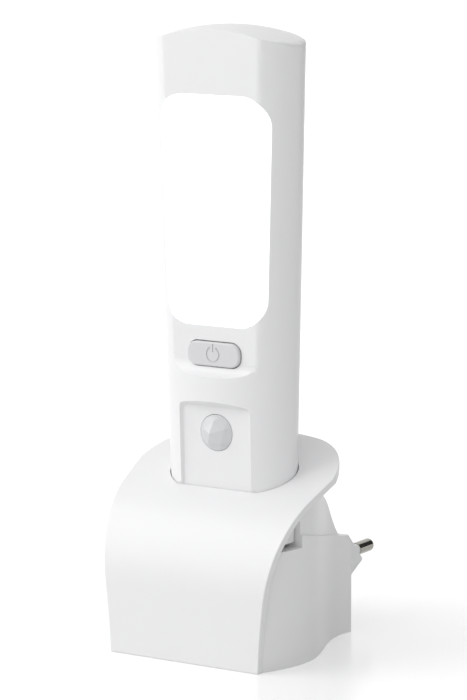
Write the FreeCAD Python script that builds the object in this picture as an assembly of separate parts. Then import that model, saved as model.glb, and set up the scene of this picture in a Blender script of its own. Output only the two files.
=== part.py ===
import FreeCAD, Part
import math
import os

from FreeCAD import Vector

# Rechargeable hand lamp with a motion sensor, standing in an inductive charging dock.
# The dock has a waterfall shaped front cover and carries a two pin europlug on its back.
# Millimetres, +Z up, front of the lamp towards -Y, plug towards +Y.
# The origin is in the middle of the flat underside of the dock, under the torch axis.

# Torch column: an ellipse that grows evenly from the foot to the crown
torch_foot = 25.0             # underside of the torch while it is docked
torch_top = 181.0             # apex of the crown
foot_half_width = 19.7
top_half_width = 23.9
width_to_depth = 1.70         # half width over half depth of the ellipse
torch_rear = 9.0              # the straight rear line of the column
crown_radius = 58.0           # sphere that rounds the crown
shell_wall = 1.8
shell_split = 2.0             # the two torch shells meet on this plane
ceiling_drop = 6.6            # from the crown's apex down to the ceiling inside

# Front panel: a flat that leans forward, with the window and the button in it
panel_lean = 1.51             # degrees from the vertical
panel_y = -10.9               # where the panel's plane meets the floor
panel_below_button = 2.2      # from the button's middle down to where the flat ends
panel_run_out_radius = 4.5    # concave sweep that brings the flat out to the column
panel_cut_depth = 8.0
panel_skin = 3.0              # thickness behind the flat

# Sensor niche below the panel
niche_half_width = 11.3
niche_depth = 0.3             # depth of its floor behind the panel's plane
niche_top = 71.6
niche_slope = 0.66            # height gained for each millimetre towards the front
niche_draft = 0.8             # its sides open out this much for each millimetre forward
niche_corner = 2.0
foot_step = 48.6              # below this height the whole front is as deep as the niche

# Window
window_above_button = 4.7     # from the button's upper edge to the window
window_top = 161.4
window_foot_half_width = 16.7
window_top_half_width = 18.9
window_corner = 8.5
window_gap = 0.15
window_back = 3.5             # depth of its rear face behind the panel's plane

# Light tray, board and light emitters behind the window
tray_half_width = 14.6
tray_margin = 2.5             # window edge to the tray's outside, top and bottom
tray_depth = 4.0
tray_wall = 1.2
led_board_thickness = 1.0
led_board_gap = 0.3
led_size = 2.8
led_height = 0.8
led_columns = 3
led_rows = 6

# Power button and its switch
button_height = 87.2
button_half_width = 8.8
button_half_height = 3.5
button_corner = 3.0
button_proud = 1.0
button_gap = 0.25
button_travel = 0.6
button_flange = 1.0
button_flange_thickness = 0.8
symbol_radius = 2.1
symbol_line = 0.5
symbol_depth = 0.25
stem_radius = 2.5
plunger_radius = 1.6
plunger_gap = 0.08
plunger_length = 2.2
switch_size = 6.0
switch_height = 3.4

# Motion sensor
lens_height = 64.2
lens_radius = 5.3
lens_bulge = 2.5
lens_wall = 0.8
lens_apex_wall = 0.5
lens_gap = 0.1
lens_flange = 1.2
lens_flange_thickness = 0.8
sensor_radius = 4.1
sensor_length = 3.6

# Control board
board_thickness = 1.2
control_half_width = 9.2
control_foot = 44.0
control_above_button = 5.3    # from the button's middle up to the board's edge
chip_size = 7.0
chip_thickness = 1.4
chip_rises = (8.0, 22.0)       # from the board's lower edge up to each chip's middle

# Battery: two cells side by side in a cradle
cell_radius = 5.2
cell_length = 44.0
cell_pitch = 11.2
cell_above_board = 7.5        # from the control board's upper edge to the cells
cell_gap = 0.2
cradle_wall = 1.4
saddle_length = 6.0
saddle_inset = 5.0
lead_radius = 0.55
lead_bend_drop = 6.0          # from the cells down to the bend of their leads
lead_end_drop = 4.0           # from the control board's edge down to where they end

# Coils
coil_outer = 7.0
coil_inner = 3.0
coil_height = 1.8
ferrite_radius = 7.4
ferrite_thickness = 1.2
foot_plate_thickness = 1.8
foot_plate_gap = 0.1

# Torch screws
torch_screw_x = 12.5
torch_screw_heights = (168.5, 63.0)
torch_post_radius = 3.1
screw_radius = 1.1
screw_head_radius = 2.1
screw_head_height = 1.6
screw_clearance = 0.15
torch_screw_seat = 3.2        # plane that the heads bear on
torch_screw_length = 8.0

# Dock cover: a bent sheet, narrow at the floor and rounded behind the torch
cover_front = -30.0
cover_thickness = 2.6
cover_bend_foot = 20.5        # height where the bend begins
cover_bend_radius = 30.0
cover_slope = 24.6            # degrees, the rise of its upper part towards the rear
cover_rear = 16.4
cover_floor_half_width = 25.2
cover_mid_height = 30.0
cover_mid_half_width = 28.3
cover_wide_height = 52.5
cover_wide_half_width = 33.2
cover_wide_y = -4.0
cover_corner_x = 18.0
cover_corner_drop = 1.7
opening_gap = 0.25
clip_half_width = 27.0        # outer side of the two legs under the cover
clip_thickness = 2.0
clip_front = -19.5
clip_rear = -13.4
clip_foot = 35.4

# Dock body
dock_wall = 2.0
dock_deck = 34.0              # height of the deck under the cover's bend
dock_step = -13.0             # the shoulder starts here, behind the deck
dock_shoulder = 37.6          # height of the shoulder's front end
dock_rear = 28.3
dock_rear_top = 28.8          # height of the shoulder's rear end
dock_rear_corner = 3.0
dock_rear_half_width = 21.2
dock_widest = 29.5
dock_widest_y = -9.0
dock_waist_y = 17.0           # its sides have run in to the rear's width here
dock_front_swell = 9.0        # the sides are near their widest this far behind the cover
tower_inset = 0.8             # ledge between the body's side and the tower's
# The tower's falling roof: distances ahead of the dock's rear, heights above its rear top
tower_roof = ((31.3, 20.5), (20.0, 15.9), (14.7, 13.0), (10.55, 8.3), (8.2, 5.1), (5.1, 1.1))
post_radius = 3.2
base_thickness = 2.2
base_gap = 0.15
base_screw_places = ((20.5, -20.0), (16.3, 21.5))
base_screw_length = 9.0

# Torch well
well_gap = 0.4
well_wall = 1.4
well_floor = 1.8
well_flange = 1.4
well_flange_thickness = 1.4
well_seat_gap = 0.15
cover_contact_gap = 0.02      # between the cover's underside and the cup's rim

# Plug, by the sizes of the flat two pin plug standard
plug_height = 19.3
plug_width = 35.3
plug_thickness = 13.7
plug_flat = 25.0              # width of its flat top and bottom
plug_face_y = 41.0
plug_wall = 2.0
plug_plate_thickness = 4.0
plug_corner = 0.8
pin_radius = 2.0
pin_core_radius = 1.5
pin_sleeve_radius = 1.82
pin_reach = 19.0              # from the plug's face to the tip
pin_sleeve_reach = 10.0
pin_base_spacing = 18.6
pin_tip_spacing = 17.5
pin_tail = 8.0                # length of the pin inside, from the plug's face
pin_tip_round = 1.2

# Supply board in the dock
supply_foot = 5.6
supply_half_width = 15.0
supply_front = -17.5
supply_rear = 16.0
supply_post_radius = 2.2
transformer_size = (14.0, 13.0, 10.0)
transformer_place = (-6.0, -9.0)
capacitor_radius = 4.0
capacitor_length = 10.5
capacitor_place = (8.5, -9.0)
driver_size = (8.0, 5.0, 1.6)
driver_place = (6.0, 3.0)
contact_width = 4.0
contact_thickness = 0.6

# Cover screws
cover_screw_x = 12.0
cover_screw_z = 10.0
cover_post_radius = 2.6
cover_post_length = 5.4
cover_screw_length = 5.0


# Helpers

def box(x0, x1, y0, y1, z0, z1):
    return Part.makeBox(x1 - x0, y1 - y0, z1 - z0, Vector(x0, y0, z0))


def rod(radius, start, end):
    """A straight cylinder between two points."""
    way = Vector(*end) - Vector(*start)
    return Part.makeCylinder(radius, way.Length, Vector(*start), way)


def tube(outer, inner, start, end):
    return rod(outer, start, end).cut(rod(inner, start, end))


def fused(shapes):
    first = shapes[0]
    if len(shapes) == 1:
        return first
    return first.multiFuse(shapes[1:]).removeSplitter()


def prism_x(points, half_width):
    """A solid whose side view is the polygon of (y, z) points."""
    corners = [Vector(-half_width, y, z) for y, z in points]
    face = Part.Face(Part.makePolygon(corners + corners[:1]))
    return face.extrude(Vector(2 * half_width, 0, 0))


def on_panel(shape):
    """Tilts a shape from upright panel coordinates onto the leaning front panel."""
    shape = shape.copy()
    shape.translate(Vector(0, panel_y, 0))
    shape.rotate(Vector(0, panel_y, 0), Vector(1, 0, 0), panel_lean)
    return shape


def panel_point(x, depth, height):
    """World place of a point given across, behind and along the front panel."""
    lean = math.radians(panel_lean)
    y = panel_y + depth * math.cos(lean) - height * math.sin(lean)
    z = depth * math.sin(lean) + height * math.cos(lean)
    return Vector(x, y, z)


def rounded_outline(foot, top, foot_half, top_half, corner, grow=0.0):
    """A rounded, slightly tapered rectangle in the XZ plane, as a face."""
    foot = foot - grow
    top = top + grow
    corners = [
        Vector(-foot_half - grow, 0, foot), Vector(foot_half + grow, 0, foot),
        Vector(top_half + grow, 0, top), Vector(-top_half - grow, 0, top),
    ]
    reach = corner + grow
    edges = []
    ends = []
    for i in range(4):
        here = corners[i]
        before = (corners[i - 1] - here).normalize()
        after = (corners[(i + 1) % 4] - here).normalize()
        half_angle = before.getAngle(after) / 2
        run = reach / math.tan(half_angle)
        middle = (before + after).normalize()
        centre = here + middle * (reach / math.sin(half_angle))
        ends.append((here + before * run, centre - middle * reach, here + after * run))
    for i in range(4):
        start, mid, end = ends[i]
        edges.append(Part.Arc(start, mid, end).toShape())
        edges.append(Part.LineSegment(end, ends[(i + 1) % 4][0]).toShape())
    return Part.Face(Part.Wire(edges))


def panel_prism(face, front, back):
    """Extrudes an XZ face from one depth to another behind the panel."""
    face = face.copy()
    face.translate(Vector(0, front, 0))
    return on_panel(face.extrude(Vector(0, back - front, 0)))


def panel_rod(radius, x, height, front, back):
    return on_panel(rod(radius, (x, front, height), (x, back, height)))


def panel_box(x0, x1, front, back, foot, top):
    return on_panel(box(x0, x1, front, back, foot, top))


# Torch column

taper = (top_half_width - foot_half_width) / (torch_top - torch_foot)


def half_width_at(z):
    return foot_half_width + taper * (z - torch_foot)


def column_ring(z, grow):
    """The column's outline at one height, grown outwards by grow."""
    half_width = half_width_at(z)
    half_depth = half_width / width_to_depth
    centre = Vector(0, torch_rear - half_depth, z)
    ellipse = Part.Ellipse(centre, half_width + grow, half_depth + grow)
    return Part.Wire([ellipse.toShape()])


def column(z0, z1, grow=0.0):
    return Part.makeLoft([column_ring(z0, grow), column_ring(z1, grow)], True, True)


panel_foot = button_height - panel_below_button


def panel_cutter():
    """What the flat front panel takes off the column, down to its swept lower end."""
    side = 2 * top_half_width
    radius = panel_run_out_radius
    half_turn = math.radians(45)
    front = -panel_cut_depth
    ceiling = 2 * torch_top
    flat_end = Vector(-side, 0, panel_foot)
    middle = Vector(-side, radius * (math.cos(half_turn) - 1),
                    panel_foot - radius * math.sin(half_turn))
    low = Vector(-side, -radius, panel_foot - radius)
    low_front = Vector(-side, front, panel_foot - radius)
    top_front = Vector(-side, front, ceiling)
    top = Vector(-side, 0, ceiling)
    edges = [
        Part.Arc(flat_end, middle, low).toShape(),
        Part.LineSegment(low, low_front).toShape(),
        Part.LineSegment(low_front, top_front).toShape(),
        Part.LineSegment(top_front, top).toShape(),
        Part.LineSegment(top, flat_end).toShape(),
    ]
    return on_panel(Part.Face(Part.Wire(edges)).extrude(Vector(2 * side, 0, 0)))


def niche_cutter():
    """The sensor niche: a flat floor, a ceiling that slopes up and sides that open out."""
    reach = panel_cut_depth + niche_depth
    rings = []
    for depth, forward in ((niche_depth, 0.0), (-panel_cut_depth, reach)):
        half = niche_half_width + niche_draft * forward
        top = niche_top + niche_slope * forward
        corners = [Vector(-half, depth, 0), Vector(half, depth, 0),
                   Vector(half, depth, top), Vector(-half, depth, top)]
        rings.append(Part.makePolygon(corners + corners[:1]))
    cutter = Part.makeLoft(rings, True, True)
    ceiling_ends = []
    for edge in cutter.Edges:
        start, end = [v.Point for v in edge.Vertexes]
        if abs(start.y - end.y) > 1 and min(start.z, end.z) > 1:
            ceiling_ends.append(edge)
    return on_panel(cutter.makeFillet(niche_corner, ceiling_ends))


def foot_cutter(grow):
    """Below the step the front of the torch is one flat, as deep as the niche."""
    side = 2 * top_half_width
    front = -3 * panel_cut_depth
    return panel_box(-side, side, front, niche_depth - grow, -10, foot_step + grow)


def crown_ball(drop):
    radius = crown_radius
    centre = Vector(0, torch_rear - top_half_width / width_to_depth, torch_top - radius)
    return Part.makeSphere(radius - drop, centre)


def torch_solid():
    """The full outer form of the torch, without its openings."""
    solid = column(torch_foot, torch_top + 1)
    solid = solid.cut(panel_cutter())
    solid = solid.cut(niche_cutter())
    solid = solid.cut(foot_cutter(0.0))
    lower = box(-60, 60, -60, 60, 0, torch_top - crown_radius / 2)
    return solid.common(crown_ball(0.0).fuse(lower))


def torch_cavity():
    """The space inside the shells."""
    ceiling = torch_top - ceiling_drop
    space = column(torch_foot - 1, ceiling, -shell_wall)
    side = 2 * top_half_width
    skin = panel_box(-side, side, -3 * panel_cut_depth, panel_skin, -10, 2 * torch_top)
    return space.cut(skin)


window_foot = button_height + button_half_height + window_above_button


def window_prism(grow, front, back):
    outline = rounded_outline(window_foot, window_top, window_foot_half_width,
                              window_top_half_width, window_corner, grow)
    return panel_prism(outline, front, back)


def button_prism(grow, front, back):
    foot = button_height - button_half_height
    top = button_height + button_half_height
    outline = rounded_outline(foot, top, button_half_width, button_half_width,
                              button_corner, grow)
    return panel_prism(outline, front, back)


def torch_shells():
    outer = torch_solid()
    cavity = torch_cavity()
    shell = outer.cut(cavity)
    far = 3 * panel_cut_depth
    shell = shell.cut(window_prism(window_gap, -far, window_back + 2))
    shell = shell.cut(button_prism(button_gap, -far, panel_skin + 1))
    shell = shell.cut(panel_rod(lens_radius + lens_gap, 0, lens_height, -far, panel_skin + 1))
    front_half = box(-60, 60, -60, shell_split, 0, 2 * torch_top)
    rear_half = box(-60, 60, shell_split, 60, 0, 2 * torch_top)
    front = [shell.common(front_half)]
    rear = [shell.common(rear_half)]
    bores = []
    seats = []
    for z in torch_screw_heights:
        for x in (-torch_screw_x, torch_screw_x):
            start = panel_point(x, panel_skin - 0.5, z).y
            front.append(rod(torch_post_radius, (x, start, z), (x, shell_split, z)))
            post = rod(torch_post_radius, (x, shell_split, z), (x, torch_rear, z))
            rear.append(post.common(outer))
            deep = torch_screw_seat - torch_screw_length - 1
            shank = screw_radius + screw_clearance
            bores.append(rod(shank, (x, deep, z), (x, torch_screw_seat + 1, z)))
            head = screw_head_radius + screw_clearance
            seats.append(rod(head, (x, torch_screw_seat, z), (x, torch_rear + 5, z)))
    front_shell = fused(front).cut(Part.makeCompound(bores))
    rear_shell = fused(rear).cut(Part.makeCompound(bores + seats))
    return front_shell, rear_shell


def torch_screws():
    screws = []
    for z in torch_screw_heights:
        for x in (-torch_screw_x, torch_screw_x):
            seat = torch_screw_seat
            shank = rod(screw_radius, (x, seat - torch_screw_length, z), (x, seat, z))
            head = rod(screw_head_radius, (x, seat, z), (x, seat + screw_head_height, z))
            slot = box(x - 1.6, x + 1.6, seat + 0.9, seat + 5, z - 0.35, z + 0.35)
            cross = box(x - 0.35, x + 0.35, seat + 0.9, seat + 5, z - 1.6, z + 1.6)
            screws.append(shank.fuse(head).cut(slot).cut(cross))
    return Part.makeCompound(screws)


def window_diffuser():
    pane = window_prism(0.0, -3 * panel_cut_depth, window_back)
    return pane.common(torch_solid())


tray_front = window_back
tray_floor = window_back + tray_depth
tray_foot = window_foot + tray_margin
tray_top = window_top - tray_margin
led_board_front = tray_floor - tray_wall - led_board_thickness


def light_tray():
    half = tray_half_width
    outer = box(-half, half, tray_front, tray_floor, tray_foot, tray_top)
    inner = box(-half + tray_wall, half - tray_wall, tray_front - 1, tray_floor - tray_wall,
                tray_foot + tray_wall, tray_top - tray_wall)
    tray = outer.cut(inner)
    return on_panel(tray)


def led_board():
    half = tray_half_width - tray_wall - led_board_gap
    rim = tray_wall + led_board_gap
    return panel_box(-half, half, led_board_front, led_board_front + led_board_thickness,
                     tray_foot + rim, tray_top - rim)


def led_emitters():
    emitters = []
    column_pitch = 2 * tray_half_width / (led_columns + 0.5)
    row_pitch = (tray_top - tray_foot) / (led_rows + 0.5)
    middle = (tray_top + tray_foot) / 2
    for column_index in range(led_columns):
        x = (column_index - (led_columns - 1) / 2) * column_pitch
        for row in range(led_rows):
            z = middle + (row - (led_rows - 1) / 2) * row_pitch
            half = led_size / 2
            emitters.append(panel_box(x - half, x + half, led_board_front - led_height,
                                      led_board_front, z - half, z + half))
    return Part.makeCompound(emitters)


# Button

button_flange_back = panel_skin + button_flange_thickness
switch_front = button_flange_back + plunger_length - 1.2
control_front = switch_front + switch_height
control_top = button_height + control_above_button


def power_symbol(front, back):
    """A broken ring with a bar through its gap."""
    ring = tube(symbol_radius + symbol_line / 2, symbol_radius - symbol_line / 2,
                (0, front, button_height), (0, back, button_height))
    gap = 1.9 * symbol_line
    notch = box(-gap, gap, front - 1, back + 1, button_height, button_height + 3 * symbol_radius)
    bar = box(-symbol_line / 2, symbol_line / 2, front, back,
              button_height + 0.35 * symbol_radius, button_height + 1.45 * symbol_radius)
    return on_panel(ring.cut(notch).fuse(bar))


def power_button():
    cap = button_prism(0.0, -button_proud, panel_skin)
    face = min(cap.Faces, key=lambda f: f.CenterOfMass.y)
    cap = cap.makeFillet(0.5 * button_proud, face.Edges)
    flange = button_prism(button_flange, panel_skin, button_flange_back)
    stem = panel_rod(stem_radius, 0, button_height, button_flange_back - 0.2, switch_front - 0.8)
    symbol = power_symbol(-button_proud - 1, -button_proud + symbol_depth)
    return fused([cap, flange, stem]).cut(symbol)


def switch_plunger():
    start = switch_front - 0.8
    return panel_rod(plunger_radius, 0, button_height, start, start + plunger_length)


def tact_switch():
    half = switch_size / 2
    body = panel_box(-half, half, switch_front, control_front,
                     button_height - half, button_height + half)
    deep = switch_front - 0.8 + plunger_length + button_travel + 0.2
    return body.cut(panel_rod(plunger_radius + plunger_gap, 0, button_height,
                              switch_front - 1, deep))


def control_board():
    return panel_box(-control_half_width, control_half_width, control_front,
                     control_front + board_thickness, control_foot, control_top)


def control_chips():
    back = control_front + board_thickness
    chips = []
    for rise in chip_rises:
        z = control_foot + rise
        half = chip_size / 2
        chips.append(panel_box(-half, half, back, back + chip_thickness, z - half, z + half))
    return Part.makeCompound(chips)


# Motion sensor

def dome_arc(radius, apex, rim):
    """Half of a shallow spherical cap in section, from its apex to its rim."""
    rise = rim - apex
    ball = (radius * radius + rise * rise) / (2 * rise)
    half = math.asin(radius / ball) / 2
    middle = Vector(ball * math.sin(half), apex + ball * (1 - math.cos(half)), lens_height)
    return Part.Arc(Vector(0, apex, lens_height), middle, Vector(radius, rim, lens_height))


def pir_lens():
    """A domed cap with a skirt and a flange behind the shell, turned from its section."""
    rim = niche_depth
    apex = rim - lens_bulge
    bore = lens_radius - lens_wall
    back = panel_skin + lens_flange_thickness
    outer = dome_arc(lens_radius, apex, rim).toShape()
    inner = dome_arc(bore, apex + lens_apex_wall, rim).toShape()
    skirt = [(lens_radius, rim), (lens_radius, panel_skin),
             (lens_radius + lens_flange, panel_skin), (lens_radius + lens_flange, back),
             (bore, back), (bore, rim)]
    edges = Part.makePolygon([Vector(x, y, lens_height) for x, y in skirt]).Edges
    middle = Part.LineSegment(Vector(0, apex + lens_apex_wall, lens_height),
                              Vector(0, apex, lens_height)).toShape()
    section = Part.Face(Part.Wire([outer] + edges + [inner, middle]))
    lens = section.revolve(Vector(0, 0, lens_height), Vector(0, 1, 0), 360)
    return on_panel(lens)


def lens_retainer():
    front = panel_skin + lens_flange_thickness
    ring = tube(lens_radius + lens_flange, sensor_radius + 0.4, (0, front, lens_height),
                (0, control_front, lens_height))
    return on_panel(ring)


def pir_sensor():
    can = rod(sensor_radius, (0, control_front - sensor_length, lens_height),
              (0, control_front, lens_height))
    return on_panel(can)


# Battery

cell_y = torch_rear - shell_wall - cradle_wall - cell_radius - cell_gap - 0.8
cell_foot = control_top + cell_above_board
cell_top = cell_foot + cell_length
cell_places = (-cell_pitch / 2, cell_pitch / 2)


def cell_rods(radius, foot, top):
    return [rod(radius, (x, cell_y, foot), (x, cell_y, top)) for x in cell_places]


def battery_cells():
    cap_height = 1.2
    bodies = cell_rods(cell_radius, cell_foot, cell_top - cap_height)
    caps = cell_rods(0.4 * cell_radius, cell_top - cap_height, cell_top)
    return Part.makeCompound([fused([body, cap]) for body, cap in zip(bodies, caps)])


cradle_rear = cell_y + cell_radius + cell_gap + cradle_wall
saddle_feet = (cell_foot + saddle_inset, cell_top - saddle_inset - saddle_length)


def battery_cradle():
    """Two double saddles on a back plate that is seated on the rear shell."""
    hold = cell_radius + cell_gap
    outer = hold + cradle_wall
    half = cell_pitch / 2
    pieces = [box(-half, half, cradle_rear - cradle_wall, cradle_rear, cell_foot, cell_top)]
    for z in saddle_feet:
        rear_half = box(-30, 30, cell_y, 30, z, z + saddle_length)
        for ring in cell_rods(outer, z, z + saddle_length):
            pieces.append(ring.common(rear_half))
    bores = cell_rods(hold, cell_foot - 5, cell_top + 5)
    return fused(pieces).cut(Part.makeCompound(bores))


def cradle_mounts(rear_shell):
    """Ribs on the rear shell that the cradle's back plate is seated on."""
    ribs = [rear_shell]
    inside = column(torch_foot + 1, torch_top - ceiling_drop - 1, -0.5 * shell_wall)
    for z in saddle_feet:
        rib = box(-5, 5, cradle_rear, torch_rear, z, z + saddle_length)
        ribs.append(rib.common(inside))
    return fused(ribs)


def battery_leads():
    """Two insulated leads from the cells down to the control board."""
    leads = []
    back = panel_point(0, control_front + board_thickness, control_top - lead_end_drop).y
    y = cell_y + 1.0
    bend = cell_foot - lead_bend_drop
    for x in cell_places:
        drop = rod(lead_radius, (x, y, bend), (x, y, cell_foot))
        knee = Part.makeSphere(lead_radius, Vector(x, y, bend))
        across = rod(lead_radius, (x, y, bend), (x, back, control_top - lead_end_drop))
        end = box(-20, 20, back - 5, back, 0, torch_top)
        leads.append(fused([drop, knee, across]).cut(end))
    return Part.makeCompound(leads)


# Foot of the torch

coil_y = (panel_point(0, panel_skin, torch_foot).y + torch_rear - shell_wall) / 2


def foot_plate():
    top = torch_foot + foot_plate_thickness
    plate = column(torch_foot, top, -shell_wall - foot_plate_gap)
    side = 2 * top_half_width
    skin = panel_box(-side, side, -3 * panel_cut_depth, panel_skin + foot_plate_gap, -10, 2 * torch_top)
    return plate.cut(skin)


def ring_coil(foot):
    return tube(coil_outer, coil_inner, (0, coil_y, foot), (0, coil_y, foot + coil_height))


def ferrite_disc(foot):
    return rod(ferrite_radius, (0, coil_y, foot), (0, coil_y, foot + ferrite_thickness))


# Dock cover

slope = math.radians(cover_slope)
cover_back = cover_front + cover_thickness


def bend_points(inset):
    """Start, middle and end of the cover's bend in side view, and its far end."""
    radius = cover_bend_radius - inset
    centre_y = cover_front + cover_bend_radius
    centre_z = cover_bend_foot
    turn = math.pi / 2 - slope
    places = []
    for angle in (0, turn / 2, turn):
        y = centre_y - radius * math.cos(angle)
        z = centre_z + radius * math.sin(angle)
        places.append((y, z))
    reach = 60.0
    last_y, last_z = places[-1]
    places.append((last_y + reach * math.cos(slope), last_z + reach * math.sin(slope)))
    return places


def cover_line(y, inset):
    """Height of the cover's sloping upper part, inset from its outer face."""
    end_y, end_z = bend_points(inset)[2]
    return end_z + (y - end_y) * math.tan(slope)


def cover_sheet():
    """The bent sheet before its outline is cut, over the full width."""
    outer = [Vector(-60, y, z) for y, z in bend_points(0.0)]
    inner = [Vector(-60, y, z) for y, z in bend_points(cover_thickness)]
    front = Vector(-60, cover_front, 0)
    back = Vector(-60, cover_front + cover_thickness, 0)
    edges = [
        Part.LineSegment(front, outer[0]).toShape(),
        Part.Arc(outer[0], outer[1], outer[2]).toShape(),
        Part.LineSegment(outer[2], outer[3]).toShape(),
        Part.LineSegment(outer[3], inner[3]).toShape(),
        Part.LineSegment(inner[3], inner[2]).toShape(),
        Part.Arc(inner[2], inner[1], inner[0]).toShape(),
        Part.LineSegment(inner[0], back).toShape(),
        Part.LineSegment(back, front).toShape(),
    ]
    return Part.Face(Part.Wire(edges)).extrude(Vector(120, 0, 0))


def space_under_cover(inset):
    """Everything below the cover's inner face, less an inset."""
    inner = [Vector(-60, y, z) for y, z in bend_points(cover_thickness + inset)]
    front = Vector(-60, cover_back + inset, -5)
    rear = Vector(-60, inner[3].y, -5)
    edges = [
        Part.LineSegment(front, inner[0]).toShape(),
        Part.Arc(inner[0], inner[1], inner[2]).toShape(),
        Part.LineSegment(inner[2], inner[3]).toShape(),
        Part.LineSegment(inner[3], rear).toShape(),
        Part.LineSegment(rear, front).toShape(),
    ]
    return Part.Face(Part.Wire(edges)).extrude(Vector(120, 0, 0))


def cover_front_view():
    """Half widths of the cover seen from the front, as a prism through the dock."""
    y = -60
    low = cover_floor_half_width
    mid = cover_mid_half_width
    wide = cover_wide_half_width
    right = [Vector(low, y, -1), Vector(mid, y, cover_mid_height),
             Vector(wide, y, cover_wide_height)]
    left = [Vector(-p.x, p.y, p.z) for p in right]
    top_right = Vector(wide, y, torch_top)
    top_left = Vector(-wide, y, torch_top)
    edges = [
        Part.Arc(right[0], right[1], right[2]).toShape(),
        Part.LineSegment(right[2], top_right).toShape(),
        Part.LineSegment(top_right, top_left).toShape(),
        Part.LineSegment(top_left, left[2]).toShape(),
        Part.Arc(left[2], left[1], left[0]).toShape(),
        Part.LineSegment(left[0], right[0]).toShape(),
    ]
    return Part.Face(Part.Wire(edges)).extrude(Vector(0, 120, 0))


def cover_plan_view():
    """The rounded outline behind the torch, as an upright prism."""
    z = -1
    wide = cover_wide_half_width
    corner_y = cover_rear - cover_corner_drop
    side = Vector(wide, cover_wide_y, z)
    corner = Vector(cover_corner_x, corner_y, z)
    depth = corner_y - cover_wide_y
    across = wide - cover_corner_x
    bulge = Vector(cover_corner_x + 0.735 * across, cover_wide_y + 0.62 * depth, z)
    rear = Vector(0, cover_rear, z)
    front = Vector(wide, -60, z)

    def flip(p):
        return Vector(-p.x, p.y, p.z)

    edges = [
        Part.LineSegment(front, side).toShape(),
        Part.Arc(side, bulge, corner).toShape(),
        Part.Arc(corner, rear, flip(corner)).toShape(),
        Part.Arc(flip(corner), flip(bulge), flip(side)).toShape(),
        Part.LineSegment(flip(side), flip(front)).toShape(),
        Part.LineSegment(flip(front), front).toShape(),
    ]
    return Part.Face(Part.Wire(edges)).extrude(Vector(0, 0, 100))


def well_space(grow, foot, top):
    """The torch's lower form grown by a clearance or a wall."""
    side = 2 * top_half_width
    space = column(foot, top, grow)
    skin = panel_box(-side, side, -3 * panel_cut_depth, niche_depth - grow, -10, 2 * torch_top)
    return space.cut(skin)


def cover_screw_posts(radius, start, end):
    return [rod(radius, (x, start, cover_screw_z), (x, end, cover_screw_z))
            for x in (-cover_screw_x, cover_screw_x)]


def cover_legs():
    """Two short legs that stand off the deck under the cover's bend."""
    under = cover_line(0, 0.5 * cover_thickness)
    rise = math.tan(slope)
    side = [
        (clip_front, clip_foot), (clip_rear, clip_foot),
        (clip_rear, under + clip_rear * rise), (clip_front, under + clip_front * rise - 1.5),
    ]
    leg = prism_x(side, clip_half_width)
    inside = prism_x(side, clip_half_width - clip_thickness)
    return leg.cut(inside).Solids


def dock_cover():
    sheet = cover_sheet().common(cover_front_view()).common(cover_plan_view())
    sheet = sheet.cut(well_space(opening_gap, torch_foot, 90))
    post_end = cover_back + cover_post_length
    posts = cover_screw_posts(cover_post_radius, cover_back - 0.5, post_end)
    posts = posts + cover_legs()
    bores = cover_screw_posts(screw_radius + 0.05, cover_back, post_end + 1)
    return fused([sheet] + posts).cut(Part.makeCompound(bores))


def cover_screws():
    screws = []
    seat = cover_back + cover_post_length
    head = cover_post_radius + 1.2
    for x in (-cover_screw_x, cover_screw_x):
        z = cover_screw_z
        shank = rod(screw_radius, (x, seat - cover_screw_length, z), (x, seat, z))
        cap = rod(head, (x, seat, z), (x, seat + screw_head_height, z))
        slot = box(x - 2, x + 2, seat + 0.8, seat + 5, z - 0.4, z + 0.4)
        screws.append(shank.fuse(cap).cut(slot))
    return Part.makeCompound(screws)


# Dock body

def dock_plan(inset, z0, z1):
    """The dock's bell shaped outline, wide in front and narrow at the plug."""
    front_x = cover_floor_half_width - inset
    rear_x = dock_rear_half_width - inset
    wide = dock_widest - inset
    front_y = cover_back + inset
    rear_y = dock_rear - inset
    span = dock_waist_y - dock_widest_y
    swell = [
        Vector(front_x, front_y, z0),
        Vector(wide - 0.9, cover_back + dock_front_swell, z0),
        Vector(wide, dock_widest_y, z0),
        Vector(wide - 0.36 * (wide - rear_x), dock_widest_y + 0.46 * span, z0),
        Vector(rear_x + 0.7, dock_waist_y - 2.0, z0),
        Vector(rear_x, rear_y, z0),
    ]
    curve = Part.BSplineCurve()
    curve.interpolate(swell)
    right = curve.toShape()
    left = right.mirror(Vector(0, 0, 0), Vector(1, 0, 0))
    rear = Part.LineSegment(swell[-1], Vector(-rear_x, rear_y, z0)).toShape()
    front = Part.LineSegment(Vector(-front_x, front_y, z0), swell[0]).toShape()
    wire = Part.Wire([right, rear, left, front])
    return Part.Face(wire).extrude(Vector(0, 0, z1 - z0))


shoulder_fall = (dock_shoulder - dock_rear_top) / (dock_rear - dock_step)


def shoulder_height(y):
    return dock_shoulder - shoulder_fall * (y - dock_step)


def dock_side(inset):
    """Side view of the lower body: a deck under the cover, then a falling shoulder."""
    deck = dock_deck - inset
    front = cover_back + inset
    rear = dock_rear - inset
    step = dock_step + inset
    arc = cover_bend_radius - cover_thickness - inset
    drop = deck - cover_bend_foot
    front_top = cover_front + cover_bend_radius - math.sqrt(arc * arc - drop * drop)
    corner = dock_rear_corner
    outline = [
        (front, -5), (front, cover_bend_foot), (front_top, deck), (step, deck),
        (step, shoulder_height(step) - inset),
        (rear - corner, shoulder_height(rear - corner) - inset),
        (rear, shoulder_height(rear) - inset - 0.8 * corner), (rear, -5),
    ]
    return prism_x(outline, 60)


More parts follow.
